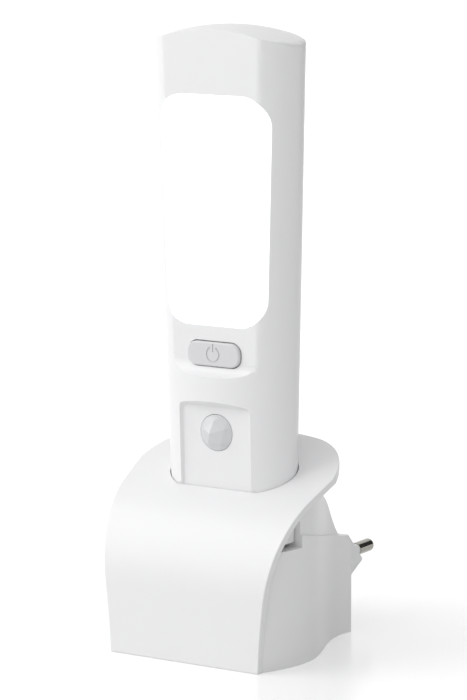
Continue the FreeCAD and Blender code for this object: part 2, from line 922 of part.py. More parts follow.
def tower(inset):
    """The block around the torch well: up to the cover in front, with a falling roof behind."""
    foot = dock_rear_top - 6
    step = dock_step + inset
    ceiling = 90.0
    roof = [Vector(-60, dock_rear - ahead - inset, dock_rear_top + above - inset)
            for ahead, above in tower_roof]
    curve = Part.BSplineCurve()
    curve.interpolate(roof)
    corners = [roof[-1], Vector(-60, roof[-1].y, foot), Vector(-60, step, foot),
               Vector(-60, step, ceiling), Vector(-60, roof[0].y, ceiling), roof[0]]
    edges = [curve.toShape()] + Part.makePolygon(corners).Edges
    side = Part.Face(Part.Wire(edges)).extrude(Vector(120, 0, 0))
    block = dock_plan(tower_inset + inset, foot, ceiling).common(side)
    return block.common(space_under_cover(inset + cover_contact_gap))


def plug_outline(inset, y):
    """The plug's flat six sided outline."""
    half = plug_width / 2 - inset
    flat = plug_flat / 2 - 0.4 * inset
    tall = plug_thickness / 2 - inset
    places = [(-half, 0), (-flat, -tall), (flat, -tall), (half, 0), (flat, tall), (-flat, tall)]
    corners = [Vector(x, y, plug_height + z) for x, z in places]
    return Part.Face(Part.makePolygon(corners + corners[:1]))


def plug_prism(inset, start, end):
    prism = plug_outline(inset, start).extrude(Vector(0, end - start, 0))
    along = [e for e in prism.Edges if abs(e.Vertexes[0].Y - e.Vertexes[1].Y) > 1]
    return prism.makeFillet(plug_corner, along)


def base_posts(radius, foot, gap):
    """Screw posts at the base's corners; the rear pair ends below the plug."""
    posts = []
    for x, y in base_screw_places:
        top = dock_deck - 0.5 * dock_wall
        if y > 0:
            top = plug_height - plug_thickness / 2
        for side in (-1, 1):
            posts.append(rod(radius, (side * x, y, foot), (side * x, y, top - gap)))
    return posts


def dock_body():
    outer = dock_plan(0.0, 0, 60).common(dock_side(0.0))
    inner = dock_plan(dock_wall, -5, 60).common(dock_side(dock_wall))
    block = fused([outer, tower(0.0)])
    space = fused([inner, tower(dock_wall)])
    root = dock_rear - 3 * dock_wall
    boss = plug_prism(0.0, root, plug_face_y)
    boss_space = plug_prism(plug_wall, root - dock_wall, plug_face_y + 1)
    posts = [post.common(block) for post in base_posts(post_radius, base_thickness, 0.0)]
    body = fused([block.cut(space), boss.cut(space)] + posts)
    body = body.cut(boss_space)
    well = well_space(well_gap + well_wall + well_seat_gap, torch_foot - 5, 90)
    bores = base_posts(screw_radius + 0.05, base_thickness - 1, 2.0)
    holes = cover_screw_posts(cover_post_radius + 0.15, cover_back - 1, cover_back + 6)
    return body.cut(Part.makeCompound([well] + bores + holes))


def torch_well():
    """The cup that holds the torch, with a flange on the deck in front."""
    floor = torch_foot - well_floor
    outer = well_space(well_gap + well_wall, floor, 80)
    inner = well_space(well_gap, torch_foot, 90)
    flange = well_space(well_gap + well_wall + well_flange, dock_deck,
                        dock_deck + well_flange_thickness)
    flange = flange.common(box(-60, 60, -60, dock_step - well_seat_gap, 0, 90))
    return fused([outer.common(space_under_cover(cover_contact_gap)), flange]).cut(inner)


def base_plate():
    plan = dock_plan(dock_wall + base_gap, 0, base_thickness)
    posts = [plan]
    bores = []
    seats = []
    for x in (-1, 1):
        for y in (supply_front + 3, supply_rear - 3):
            place = (x * (supply_half_width - 3), y)
            posts.append(rod(supply_post_radius, (*place, 0), (*place, supply_foot)))
    for x, y in base_screw_places:
        for side in (-1, 1):
            shank = screw_radius + screw_clearance
            head = screw_head_radius + screw_clearance
            bores.append(rod(shank, (side * x, y, -1), (side * x, y, 5)))
            seats.append(rod(head, (side * x, y, -1), (side * x, y, 1.2)))
    return fused(posts).cut(Part.makeCompound(bores + seats))


def base_screws():
    screws = []
    for x, y in base_screw_places:
        for side in (-1, 1):
            place = side * x
            head = rod(screw_head_radius, (place, y, 0.3), (place, y, 1.2))
            shank = rod(screw_radius, (place, y, 1.2), (place, y, base_screw_length))
            slot = box(place - 1.5, place + 1.5, y - 0.35, y + 0.35, 0, 0.8)
            screws.append(head.fuse(shank).cut(slot))
    return Part.makeCompound(screws)


# Plug

pin_swing = math.degrees(math.asin((pin_base_spacing - pin_tip_spacing) / 2 / pin_reach))


def aim_pin(shape, side):
    """Turns a pin built along +Y at the face's middle into its slightly toed in place."""
    shape = shape.copy()
    shape.translate(Vector(side * pin_base_spacing / 2, plug_face_y, plug_height))
    pivot = Vector(side * pin_base_spacing / 2, plug_face_y, plug_height)
    shape.rotate(pivot, Vector(0, 0, 1), side * pin_swing)
    return shape


def plug_pin(side):
    core = rod(pin_core_radius, (0, -pin_tail, 0), (0, pin_sleeve_reach, 0))
    tip = rod(pin_radius, (0, pin_sleeve_reach, 0), (0, pin_reach, 0))
    end = max(tip.Faces, key=lambda f: f.CenterOfMass.y)
    tip = tip.makeFillet(pin_tip_round, end.Edges)
    return aim_pin(fused([core, tip]), side)


def pin_sleeve(side):
    start = -plug_plate_thickness
    sleeve = tube(pin_sleeve_radius, pin_core_radius, (0, start, 0), (0, pin_sleeve_reach, 0))
    return aim_pin(sleeve, side)


def plug_plate():
    front = plug_face_y - plug_plate_thickness
    plate = plug_prism(plug_wall + 0.05, front, plug_face_y)
    holes = [aim_pin(rod(pin_sleeve_radius, (0, -10, 0), (0, 10, 0)), s) for s in (-1, 1)]
    return plate.cut(Part.makeCompound(holes))


def pin_contacts():
    """Bent strips from the pins' tails, out of the plug and down to the supply board."""
    strips = []
    top = supply_foot + board_thickness
    thick = contact_thickness
    tail_y = plug_face_y - pin_tail
    foot_y = supply_rear - 3
    level = plug_height - 2.4
    for side in (-1, 1):
        tail = aim_pin(rod(pin_core_radius, (0, -pin_tail, 0), (0, 0, 0)), side)
        x = side * pin_base_spacing / 2
        left = x - contact_width / 2
        right = x + contact_width / 2
        upright = box(left, right, tail_y - thick, tail_y, level, plug_height + 2)
        across = box(left, right, foot_y, tail_y, level, level + thick)
        leg = box(left, right, foot_y, foot_y + thick, top, level + thick)
        strips.append(fused([upright, across, leg]).cut(tail))
    return Part.makeCompound(strips)


# Supply board

def supply_board():
    return box(-supply_half_width, supply_half_width, supply_front, supply_rear, supply_foot,
               supply_foot + board_thickness)


def block_on_board(place, size):
    x, y = place
    wide, deep, tall = size
    foot = supply_foot + board_thickness
    return box(x - wide / 2, x + wide / 2, y - deep / 2, y + deep / 2, foot, foot + tall)


def transformer():
    core = block_on_board(transformer_place, transformer_size)
    upright = [e for e in core.Edges if abs(e.Vertexes[0].Z - e.Vertexes[1].Z) > 1]
    return core.makeFillet(0.8, upright)


def smoothing_capacitor():
    x, y = capacitor_place
    foot = supply_foot + board_thickness
    can = rod(capacitor_radius, (x, y, foot), (x, y, foot + capacitor_length))
    return can.makeFillet(0.5, [e for e in can.Edges if len(e.Vertexes) == 1])


def dock_coil_leads():
    """Two leads from the sending coil's rim down to the supply board."""
    level = torch_foot - well_floor - coil_height / 2
    foot = supply_foot + board_thickness
    place = coil_outer + 2.2
    leads = []
    for side in (-1, 1):
        x = side * place
        down = rod(lead_radius, (x, coil_y, foot), (x, coil_y, level))
        knee = Part.makeSphere(lead_radius, Vector(x, coil_y, level))
        across = rod(lead_radius, (side * (coil_outer - 0.2), coil_y, level), (x, coil_y, level))
        lead = fused([down, knee, across])
        leads.append(lead.cut(rod(coil_outer, (0, coil_y, level - 2), (0, coil_y, level + 2))))
    return Part.makeCompound(leads)


def torch_coil_leads():
    """Two leads from the receiving coil's rim up to the control board."""
    level = torch_foot + foot_plate_thickness + coil_height / 2
    place = coil_outer + 1.6
    target = panel_point(0, control_front + board_thickness, control_foot + 3)
    board = panel_box(-20, 20, control_front - 5, control_front + board_thickness,
                      control_foot - 5, control_top)
    leads = []
    for side in (-1, 1):
        x = side * place
        out = rod(lead_radius, (side * (coil_outer - 0.2), coil_y, level), (x, coil_y, level))
        knee = Part.makeSphere(lead_radius, Vector(x, coil_y, level))
        up = rod(lead_radius, (x, coil_y, level), (x, target.y - 0.3, target.z))
        lead = fused([out, knee, up])
        lead = lead.cut(rod(coil_outer, (0, coil_y, level - 2), (0, coil_y, level + 2)))
        leads.append(lead.cut(board))
    return Part.makeCompound(leads)


def main():
    os.makedirs("parts", exist_ok=True)
    front_shell, rear_shell = torch_shells()
    foot_top = torch_foot + foot_plate_thickness
    well_under = torch_foot - well_floor
    nodes = {
        "torch_front_shell": front_shell,
        "torch_rear_shell": cradle_mounts(rear_shell),
        "torch_shell_screws": torch_screws(),
        "window_diffuser": window_diffuser(),
        "light_tray": light_tray(),
        "led_board": led_board(),
        "led_emitters": led_emitters(),
        "power_button": power_button(),
        "switch_plunger": switch_plunger(),
        "tact_switch": tact_switch(),
        "control_board": control_board(),
        "control_chips": control_chips(),
        "motion_sensor_lens": pir_lens(),
        "lens_retainer": lens_retainer(),
        "motion_sensor": pir_sensor(),
        "battery_cells": battery_cells(),
        "battery_cradle": battery_cradle(),
        "battery_leads": battery_leads(),
        "torch_foot_plate": foot_plate(),
        "receiving_coil": ring_coil(foot_top),
        "receiving_ferrite": ferrite_disc(foot_top + coil_height),
        "receiving_coil_leads": torch_coil_leads(),
        "dock_cover": dock_cover(),
        "cover_screws": cover_screws(),
        "dock_body": dock_body(),
        "torch_well": torch_well(),
        "base_plate": base_plate(),
        "base_screws": base_screws(),
        "sending_coil": ring_coil(well_under - coil_height),
        "sending_ferrite": ferrite_disc(well_under - coil_height - ferrite_thickness),
        "sending_coil_leads": dock_coil_leads(),
        "supply_board": supply_board(),
        "transformer": transformer(),
        "smoothing_capacitor": smoothing_capacitor(),
        "driver_chip": block_on_board(driver_place, driver_size),
        "plug_plate": plug_plate(),
        "plug_pin_left": plug_pin(-1),
        "plug_pin_right": plug_pin(1),
        "pin_sleeve_left": pin_sleeve(-1),
        "pin_sleeve_right": pin_sleeve(1),
        "pin_contacts": pin_contacts(),
    }
    for name, shape in nodes.items():
        shape.exportStep("parts/" + name + ".step")
        print(name, len(shape.Solids), round(shape.Volume, 1), shape.isValid())


main()
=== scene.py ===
import math

import bmesh
import bpy
from mathutils import Matrix, Vector


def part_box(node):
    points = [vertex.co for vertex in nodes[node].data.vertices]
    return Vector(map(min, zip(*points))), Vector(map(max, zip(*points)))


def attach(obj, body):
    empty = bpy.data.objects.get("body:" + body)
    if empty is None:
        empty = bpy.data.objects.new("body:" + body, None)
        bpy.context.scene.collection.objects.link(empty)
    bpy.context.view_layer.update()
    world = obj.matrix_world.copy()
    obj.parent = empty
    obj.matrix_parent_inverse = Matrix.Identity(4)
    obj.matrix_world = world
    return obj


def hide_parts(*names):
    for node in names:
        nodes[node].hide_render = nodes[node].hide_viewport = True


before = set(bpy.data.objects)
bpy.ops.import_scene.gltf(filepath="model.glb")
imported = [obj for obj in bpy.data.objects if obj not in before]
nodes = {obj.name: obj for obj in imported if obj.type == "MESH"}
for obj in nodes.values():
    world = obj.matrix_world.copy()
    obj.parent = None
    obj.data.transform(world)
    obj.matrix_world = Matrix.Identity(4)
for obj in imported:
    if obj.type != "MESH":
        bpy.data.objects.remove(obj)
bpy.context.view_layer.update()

# Lengths named here are in millimetres, places in the scene in metres, angles in degrees
MM = 0.001

# Photograph: its frame in pixels, and the camera that it was taken with
IMAGE_WIDTH = 467
FOCAL_PIXELS = 3455.18
CAMERA_AZIMUTH = 32.64
CAMERA_ELEVATION = 9.05
CAMERA_DISTANCE = 1000.1
CAMERA_TARGET = (-2.08, 0.0, 86.39)
SENSOR_WIDTH = 36.0
CLIP_START = 0.01
CLIP_END = 50.0

# Studio, in metres: its walls are brightest towards (azimuth, elevation) STUDIO_FRONT
STUDIO_FRONT = (-15.0, 5.0)
STUDIO_LEVEL = 0.72
STUDIO_SWING = 0.19
STUDIO_TINT = (0.99, 0.995, 1.0, 1.0)
KEY_AZIMUTH = -50.0
KEY_ELEVATION = 30.0
KEY_DISTANCE = 1.3
KEY_SIZE = (1.0, 1.2)
KEY_POWER = 7.4
KEY_TARGET = (0.0, 0.0, 0.09)
FLOOR_RADIUS = 6.0
FLOOR_WHITE = (0.8, 0.8, 0.8, 1.0)
FLOOR_ROUGHNESS = 0.2
# The floor glows less near the object than far off: a painted shade on the floor round the
# object's foot, under its cast shadow
FLOOR_GLOW_NEAR = 0.25
FLOOR_GLOW_FAR = 0.45
FLOOR_GLOW_START = 0.06
FLOOR_GLOW_REACH = 0.25
FLAG_AZIMUTH = 160.0
FLAG_ELEVATION = 19.0
FLAG_DISTANCE = 0.6
FLAG_AIM = (0.0, 0.04, 0.02)
FLAG_SIZE = (0.3, 0.36)

# Torch, as the part's source has it: its leaning front panel and what sits in it
PANEL_LEAN = math.radians(1.51)
PANEL_Y = -10.9
SHELL_SPLIT = 2.0
SPLIT_MARGIN = 0.05
BUTTON_HEIGHT = 87.2
BUTTON_REACH = (10.0, 5.0)    # more than the button's half width and half height
HOLE_MARGIN = 0.6
WINDOW_FOOT = 95.4
WINDOW_REACH = 20.0           # more than the window's half width
WINDOW_DEPTH = 4.0            # more than the panel's thickness
PANEL_INSIDE = 1.6            # edges further behind the panel's plane than this stay crisp
LENS_HEIGHT = 64.2
LENS_RADIUS = 5.3
LENS_BULGE = 2.5
LENS_RIM_DEPTH = 0.3
LENS_SKIRT_DEPTH = 3.0
LENS_FLANGE = 1.2
LENS_WALL = 0.8
LENS_CUT = 0.92               # the cut facets' share of the round dome's height
LENS_APEX_ASIDE = -0.9
LENS_TURN = 20.0
LENS_TRIM = 0.985             # the ball is cut a little below the rim, then drawn up to it

# Dock: the ellipse that holds the lip of the cover's opening
OPENING_HALF = (24.0, 15.5)
OPENING_Y = -3.0

# Coils
COIL_OUTER = 7.0
COIL_INNER = 3.0
COIL_HEIGHT = 1.8
WIRE = 0.4
WIRE_SIDES = 8
TURN_STEPS = 40

# Meshes: doubles are merged and flat areas joined before edges are rounded
MERGE_DISTANCE = 2e-6
FLAT_ANGLE = math.radians(0.4)
ROUND_ANGLE = math.radians(35.0)
ROUND_SEGMENTS = 3


def panel_point(x, depth, height):
    """World place in metres of a point given across, behind and along the front panel."""
    y = PANEL_Y + depth * math.cos(PANEL_LEAN) - height * math.sin(PANEL_LEAN)
    z = depth * math.sin(PANEL_LEAN) + height * math.cos(PANEL_LEAN)
    return Vector((x, y, z)) * MM


# Shared material effects

SLOW_SCALE = 38.0
CLOUD_SCALE = 160.0


def new_group(name, inputs, outputs):
    """An empty node group with these sockets."""
    group = bpy.data.node_groups.new(name, "ShaderNodeTree")
    for label, kind, value in inputs:
        socket = group.interface.new_socket(name=label, in_out="INPUT", socket_type=kind)
        socket.default_value = value
    for label, kind in outputs:
        group.interface.new_socket(name=label, in_out="OUTPUT", socket_type=kind)
    return group


def add(tree, kind, **settings):
    """A new node of a tree, with its properties set."""
    node = tree.nodes.new(kind)
    for key, value in settings.items():
        setattr(node, key, value)
    return node


def noise(tree, vector, scale, detail=3.0, roughness=0.5):
    """A noise value at a place, on a scale that is a number or another node's output."""
    node = add(tree, "ShaderNodeTexNoise")
    tree.links.new(vector, node.inputs["Vector"])
    node.inputs["Detail"].default_value = detail
    node.inputs["Roughness"].default_value = roughness
    if isinstance(scale, (int, float)):
        node.inputs["Scale"].default_value = scale
    else:
        tree.links.new(scale, node.inputs["Scale"])
    return node.outputs["Fac"]


def math_node(tree, operation, *values):
    """A Math node, whose inputs are numbers or the outputs of other nodes."""
    node = add(tree, "ShaderNodeMath", operation=operation)
    for index, value in enumerate(values):
        if isinstance(value, (int, float)):
            node.inputs[index].default_value = value
        else:
            tree.links.new(value, node.inputs[index])
    return node.outputs[0]


def background_rays(tree):
    """1 on the rays to which the studio shows its white: camera, glossy and transmission."""
    path = add(tree, "ShaderNodeLightPath")
    seen = math_node(tree, "MAXIMUM", path.outputs["Is Camera Ray"],
                     path.outputs["Is Glossy Ray"])
    return math_node(tree, "MAXIMUM", seen, path.outputs["Is Transmission Ray"])


def moulded_group():
    """Injection moulded plastic: slow drift of tone and gloss, and a fine eroded grain."""
    group = new_group("moulded_surface", [
        ("Colour", "NodeSocketColor", (0.8, 0.8, 0.8, 1.0)),
        ("Tone drift", "NodeSocketFloat", 0.02),
        ("Roughness", "NodeSocketFloat", 0.4),
        ("Gloss drift", "NodeSocketFloat", 0.06),
        ("Grain scale", "NodeSocketFloat", 2600.0),
    ], [("Colour", "NodeSocketColor"), ("Roughness", "NodeSocketFloat"),
        ("Height", "NodeSocketFloat")])
    entry = add(group, "NodeGroupInput")
    result = add(group, "NodeGroupOutput")
    place = add(group, "ShaderNodeTexCoord").outputs["Object"]
    slow = noise(group, place, SLOW_SCALE)
    cloud = noise(group, place, CLOUD_SCALE)
    grain = noise(group, place, entry.outputs["Grain scale"], roughness=0.6)
    tone = math_node(group, "SUBTRACT", slow, 0.5)
    tone = math_node(group, "MULTIPLY_ADD", tone, entry.outputs["Tone drift"], 1.0)
    tint = add(group, "ShaderNodeVectorMath", operation="SCALE")
    group.links.new(entry.outputs["Colour"], tint.inputs[0])
    group.links.new(tone, tint.inputs["Scale"])
    group.links.new(tint.outputs[0], result.inputs["Colour"])
    gloss = math_node(group, "SUBTRACT", cloud, 0.5)
    gloss = math_node(group, "MULTIPLY_ADD", gloss, entry.outputs["Gloss drift"],
                      entry.outputs["Roughness"])
    group.links.new(gloss, result.inputs["Roughness"])
    group.links.new(grain, result.inputs["Height"])
    return group


MOULDED = moulded_group()


def shader(name):
    """A new material, its node tree and its Principled shader."""
    material = bpy.data.materials.new(name)
    material.use_nodes = True
    return material, material.node_tree, material.node_tree.nodes["Principled BSDF"]


def moulded(name, colour, roughness, tone=0.02, gloss=0.06, grain=2600.0, depth=0.00001,
            strength=0.12, **sockets):
    """A plastic or coated finish on the shared moulded effect."""
    material, tree, principled = shader(name)
    effect = add(tree, "ShaderNodeGroup", node_tree=MOULDED)
    effect.inputs["Colour"].default_value = (*colour, 1.0)
    effect.inputs["Tone drift"].default_value = tone
    effect.inputs["Roughness"].default_value = roughness
    effect.inputs["Gloss drift"].default_value = gloss
    effect.inputs["Grain scale"].default_value = grain
    bump = add(tree, "ShaderNodeBump")
    bump.inputs["Strength"].default_value = strength
    bump.inputs["Distance"].default_value = depth
    tree.links.new(effect.outputs["Height"], bump.inputs["Height"])
    tree.links.new(effect.outputs["Colour"], principled.inputs["Base Color"])
    tree.links.new(effect.outputs["Roughness"], principled.inputs["Roughness"])
    tree.links.new(bump.outputs["Normal"], principled.inputs["Normal"])
    for key, value in sockets.items():
        principled.inputs[key.replace("_", " ")].default_value = value
    return material


torch_white = moulded("torch_white_plastic", (0.84, 0.84, 0.845), 0.36, grain=2200.0)
dock_white = moulded("dock_white_plastic", (0.83, 0.83, 0.835), 0.38, grain=2200.0)
cover_white = moulded("cover_white_plastic", (0.84, 0.84, 0.845), 0.34, grain=2200.0)
button_grey = moulded("button_satin_grey", (0.68, 0.68, 0.69), 0.42)
lens_milky = moulded("sensor_lens_milky", (0.66, 0.67, 0.675), 0.22)
tray_white = moulded("tray_matt_white", (0.86, 0.86, 0.85), 0.7)
board_white = moulded("led_board_white", (0.82, 0.82, 0.8), 0.45)
led_yellow = moulded("led_phosphor", (0.85, 0.62, 0.12), 0.5)
board_green = moulded("board_solder_mask", (0.01, 0.11, 0.035), 0.3, tone=0.3, Coat_Weight=0.4)
chip_black = moulded("chip_package", (0.02, 0.02, 0.022), 0.55, tone=0.2)
cell_wrap = moulded("cell_shrink_sleeve", (0.03, 0.12, 0.4), 0.25, tone=0.1)
lead_red = moulded("lead_insulation", (0.45, 0.02, 0.015), 0.45, tone=0.1)
copper = moulded("copper_winding", (0.72, 0.3, 0.12), 0.32, tone=0.3, Metallic=1.0)
ferrite = moulded("ferrite_ceramic", (0.045, 0.045, 0.05), 0.75, tone=0.3)
screw_steel = moulded("screw_zinc", (0.5, 0.5, 0.51), 0.32, tone=0.15, Metallic=1.0)
pin_nickel = moulded("pin_nickel", (0.36, 0.345, 0.31), 0.16, tone=0.1, Metallic=1.0)
sleeve_white = moulded("pin_sleeve_white", (0.82, 0.82, 0.82), 0.5)
foil_black = moulded("capacitor_sleeve", (0.02, 0.03, 0.06), 0.3, tone=0.2)
core_yellow = moulded("transformer_tape", (0.6, 0.42, 0.05), 0.5, tone=0.2)


def opal_material():
    """Diffuser lit from behind by the light emitters."""
    material = moulded("window_opal_lit", (0.86, 0.86, 0.86), 0.45)
    principled = material.node_tree.nodes["Principled BSDF"]
    principled.inputs["Emission Color"].default_value = (1.0, 1.0, 0.99, 1.0)
    principled.inputs["Emission Strength"].default_value = 0.6
    return material


window_opal = opal_material()

FINISHES = {
    "torch_front_shell": torch_white, "torch_rear_shell": torch_white,
    "torch_foot_plate": torch_white, "torch_shell_screws": screw_steel,
    "window_diffuser": window_opal, "light_tray": tray_white, "led_board": board_white,
    "led_emitters": led_yellow, "power_button": button_grey, "switch_plunger": chip_black,
    "tact_switch": chip_black, "control_board": board_green, "control_chips": chip_black,
    "motion_sensor_lens": lens_milky, "lens_retainer": tray_white,
    "motion_sensor": screw_steel, "battery_cells": cell_wrap, "battery_cradle": tray_white,
    "battery_leads": lead_red, "receiving_coil": copper, "receiving_ferrite": ferrite,
    "receiving_coil_leads": lead_red, "dock_cover": cover_white,
    "cover_screws": screw_steel, "dock_body": dock_white, "torch_well": dock_white,
    "base_plate": dock_white, "base_screws": screw_steel, "sending_coil": copper,
    "sending_ferrite": ferrite, "sending_coil_leads": lead_red,
    "supply_board": board_green, "transformer": core_yellow,
    "smoothing_capacitor": foil_black, "driver_chip": chip_black,
    "plug_plate": dock_white, "plug_pin_left": pin_nickel, "plug_pin_right": pin_nickel,
    "pin_sleeve_left": sleeve_white, "pin_sleeve_right": sleeve_white,
    "pin_contacts": screw_steel,
}

for name, node in nodes.items():
    node.data.materials.clear()
    node.data.materials.append(FINISHES[name])


# Rounded copies of the outer shells

def merged_copy(name):
    """A CAD solid's mesh as clean bmesh faces: doubles merged and flat areas joined."""
    work = bmesh.new()
    work.from_mesh(nodes[name].data)
    bmesh.ops.remove_doubles(work, verts=work.verts, dist=MERGE_DISTANCE)
    bmesh.ops.dissolve_limit(work, angle_limit=FLAT_ANGLE, verts=work.verts,
                             edges=work.edges, use_dissolve_boundaries=False)
    return work


def put_in_scene(work, name, body, material, smooth_angle=32.0):
    """Makes a piece of a bmesh, with its material, on a body."""
    mesh = bpy.data.meshes.new(name)
    work.to_mesh(mesh)
    work.free()
    mesh.materials.append(material)
    mesh.shade_smooth()
    mesh.set_sharp_from_angle(angle=math.radians(smooth_angle))
    piece = bpy.data.objects.new(name, mesh)
    bpy.context.scene.collection.objects.link(piece)
    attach(piece, body)
    return piece


def softened(name, body, bands):
    """Stands in for a CAD solid, with its sharp outer edges rounded.

    bands lists (width in millimetres, test of an edge's middle); the first test that an
    edge passes rounds it, and a width of 0 leaves it crisp.
    """
    work = merged_copy(name)
    chosen = [[] for _ in bands]
    for edge in work.edges:
        if len(edge.link_faces) != 2 or not edge.is_convex:
            continue
        if edge.calc_face_angle() < ROUND_ANGLE:
            continue
        middle = (edge.verts[0].co + edge.verts[1].co) / 2 / MM
        for index, (width, test) in enumerate(bands):
            if test(middle):
                chosen[index].append(edge)
                break
    for (width, test), edges in zip(bands, chosen):
        edges = [e for e in edges if e.is_valid]
        if width and edges:
            bmesh.ops.bevel(work, geom=edges, offset=width * MM, offset_type="OFFSET",
                            segments=ROUND_SEGMENTS, profile=0.5, affect="EDGES",
                            clamp_overlap=True, material=-1)
    piece = put_in_scene(work, name + "_soft", body, FINISHES[name])
    even = piece.modifiers.new("even_shading", "WEIGHTED_NORMAL")
    even.keep_sharp = True
    even.weight = 100
    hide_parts(name)


def anywhere(middle):
    return True


def at_opening(middle):
    """The lip of the cover around the torch."""
    across, along = OPENING_HALF
    return math.hypot(middle.x / across, (middle.y - OPENING_Y) / along) < 1.0


def panel_depth(middle):
    """Millimetres behind the plane of the torch's front panel."""
    return (middle.y - PANEL_Y) * math.cos(PANEL_LEAN) + middle.z * math.sin(PANEL_LEAN)


def at_button_hole(middle):
    across, up = BUTTON_REACH
    return abs(middle.x) < across and abs(middle.z - BUTTON_HEIGHT) < up


def at_lens_hole(middle):
    return math.hypot(middle.x, middle.z - LENS_HEIGHT) < LENS_RADIUS + HOLE_MARGIN


def at_window(middle):
    return (middle.z > WINDOW_FOOT - 1.0 and abs(middle.x) < WINDOW_REACH
            and panel_depth(middle) < WINDOW_DEPTH)


def at_split(middle):
    """Where the torch's two shells meet."""
    return abs(middle.y - SHELL_SPLIT) < SPLIT_MARGIN


def at_inner_side(middle):
    return panel_depth(middle) > PANEL_INSIDE


softened("dock_cover", "dock", [(0.12, at_opening), (0.5, anywhere)])
softened("dock_body", "dock", [(0.8, anywhere)])
softened("torch_front_shell", "torch", [
    (0.08, at_split), (0.12, at_button_hole), (0.15, at_lens_hole), (0.3, at_window),
    (0.0, at_inner_side), (0.8, anywhere)])
softened("torch_rear_shell", "torch", [(0.08, at_split), (0.4, anywhere)])


# Sensor lens

def set_on_circle(vert, radius, height):
    """Moves a vertex straight out to a radius about Z, and to a height."""
    flat = Vector((vert.co.x, vert.co.y, 0)).normalized() * radius
    vert.co = (flat.x, flat.y, height)


def faceted_lens():
    """Moulded sensor lens: a cut dome of flat facets on a turned skirt and flange."""
    ball = (LENS_RADIUS ** 2 + LENS_BULGE ** 2) / (2 * LENS_BULGE)
    work = bmesh.new()
    bmesh.ops.create_icosphere(work, subdivisions=2, radius=ball)
    bmesh.ops.rotate(work, verts=work.verts, cent=(0, 0, 0),
                     matrix=Matrix.Rotation(math.radians(LENS_TURN), 3, "Z"))
    rim = ball - LENS_BULGE
    bmesh.ops.bisect_plane(work, geom=work.verts[:] + work.edges[:] + work.faces[:],
                           plane_co=(0, 0, rim * LENS_TRIM), plane_no=(0, 0, 1),
                           clear_inner=True)
    for vert in [v for v in work.verts if v.co.z < rim]:
        set_on_circle(vert, LENS_RADIUS, rim)
    border = [e for e in work.edges if len(e.link_faces) == 1]
    bmesh.ops.subdivide_edges(work, edges=border, cuts=2)
    for vert in work.verts:
        if abs(vert.co.z - rim) < 1e-6:
            set_on_circle(vert, LENS_RADIUS, rim)
        elif math.hypot(vert.co.x, vert.co.y) > 0.1 * LENS_RADIUS:
            vert.co.z = rim + (vert.co.z - rim) * LENS_CUT
        else:
            vert.co.x += LENS_APEX_ASIDE
    bmesh.ops.triangulate(work, faces=work.faces[:])
    flange = LENS_RADIUS + LENS_FLANGE
    bore = LENS_RADIUS - LENS_WALL
    back = LENS_SKIRT_DEPTH + LENS_WALL
    levels = ((LENS_RADIUS, LENS_SKIRT_DEPTH), (flange, LENS_SKIRT_DEPTH), (flange, back),
              (bore, back), (bore, LENS_RIM_DEPTH + LENS_WALL))
    ring = [e for e in work.edges if len(e.link_faces) == 1]
    for radius, depth in levels:
        made = bmesh.ops.extrude_edge_only(work, edges=ring)["geom"]
        ring = [g for g in made if isinstance(g, bmesh.types.BMEdge)]
        for vert in {v for e in ring for v in e.verts}:
            set_on_circle(vert, radius, rim - (depth - LENS_RIM_DEPTH))
    bmesh.ops.contextual_create(work, geom=ring)
    bmesh.ops.recalc_face_normals(work, faces=work.faces)
    place = panel_point(0, LENS_RIM_DEPTH, LENS_HEIGHT)
    turn = Matrix.Rotation(PANEL_LEAN, 4, "X") @ Matrix.Rotation(math.radians(90), 4, "X")
    lift = Matrix.Translation((0, 0, -rim))
    bmesh.ops.transform(work, verts=work.verts, matrix=Matrix.Translation(place) @ turn
                        @ Matrix.Scale(MM, 4) @ lift)
    piece = put_in_scene(work, "sensor_lens_faceted", "torch", lens_milky, 1.0)
    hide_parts("motion_sensor_lens")


faceted_lens()


# Induction coils

def wound_coil(name):
    """Flat induction coil: layers of enamelled wire turns that stand in for the CAD ring."""
    low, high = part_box(name)
    centre = (low + high) / 2
    across = int((COIL_OUTER - COIL_INNER) / WIRE)
    layers = int(COIL_HEIGHT / WIRE)
    work = bmesh.new()
    for layer in range(layers):
        level = (layer - (layers - 1) / 2) * COIL_HEIGHT / layers
        for turn in range(across):
            radius = COIL_INNER + (turn + 0.5) * (COIL_OUTER - COIL_INNER) / across
            before = set(work.verts)
            bmesh.ops.create_circle(work, segments=WIRE_SIDES, radius=WIRE / 2)
            rim = [v for v in work.verts if v not in before]
            bmesh.ops.rotate(work, verts=rim, cent=(0, 0, 0),
                             matrix=Matrix.Rotation(math.radians(90), 3, "X"))
            bmesh.ops.translate(work, verts=rim, vec=(radius, 0, level))
            loop = list({e for v in rim for e in v.link_edges})
            bmesh.ops.spin(work, geom=rim + loop, cent=(0, 0, 0), axis=(0, 0, 1),
                           angle=math.radians(360), steps=TURN_STEPS, use_merge=True)
    bmesh.ops.remove_doubles(work, verts=work.verts, dist=1e-4)
    bmesh.ops.recalc_face_normals(work, faces=work.faces)
    bmesh.ops.transform(work, verts=work.verts,
                        matrix=Matrix.Translation(centre) @ Matrix.Scale(MM, 4))
    body = "torch" if name == "receiving_coil" else "dock"
    piece = put_in_scene(work, name + "_winding", body, copper, 60.0)
    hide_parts(name)


wound_coil("receiving_coil")
wound_coil("sending_coil")


# Studio and camera

def direction(azimuth, elevation):
    """Unit vector from the object towards a viewer at these angles."""
    az = math.radians(azimuth)
    el = math.radians(elevation)
    return Vector((math.sin(az) * math.cos(el), -math.cos(az) * math.cos(el), math.sin(el)))


def aimed(thing, place, target):
    """Puts a camera or a light in its place, facing a target."""
    thing.location = place
    thing.rotation_euler = (Vector(target) - Vector(place)).to_track_quat("-Z", "Y").to_euler()


